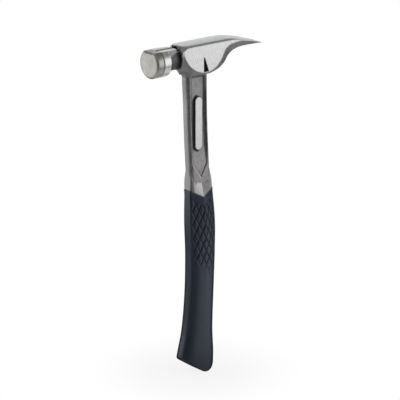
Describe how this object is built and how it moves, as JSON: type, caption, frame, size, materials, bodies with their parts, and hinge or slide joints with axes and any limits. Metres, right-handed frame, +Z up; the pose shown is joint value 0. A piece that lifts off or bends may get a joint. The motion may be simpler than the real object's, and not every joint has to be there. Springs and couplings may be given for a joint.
{
  "type": "finish hammer",
  "caption": "One-piece metal claw hammer with a replaceable smooth striking face, a magnetic nail starter, a straight rip claw and a moulded rubber grip.",
  "frame": {"origin": "on the flat of the butt end, where the line of the neck meets it", "axes": "+Z up the handle to the head, -X the way the hammer strikes, +X along the claw, Y across the head"},
  "size_m": [0.1485, 0.032, 0.3714],
  "materials": {
    "cast_titanium": "as cast, with ground cheeks and crown",
    "face_steel": "turned, satin",
    "screw_steel": "black oxide",
    "magnet_plate": "plated",
    "grip_rubber": "moulded, satin"
  },
  "bodies": {
    "hammer": {"hammer_body": "cast_titanium", "nail_magnet": "magnet_plate", "grip": "grip_rubber"},
    "face": {"striking_face": "face_steel"},
    "screw": {"face_screw": "screw_steel"}
  },
  "joints": [
    {"name": "face_pull", "type": "slide", "parent": "hammer", "child": "face", "axis": [-1, 0, 0], "range_m": [0, 0.0105]},
    {"name": "screw_out", "type": "slide", "parent": "hammer", "child": "screw", "axis": [0, 0, -1], "range_m": [0, 0.01]}
  ]
}
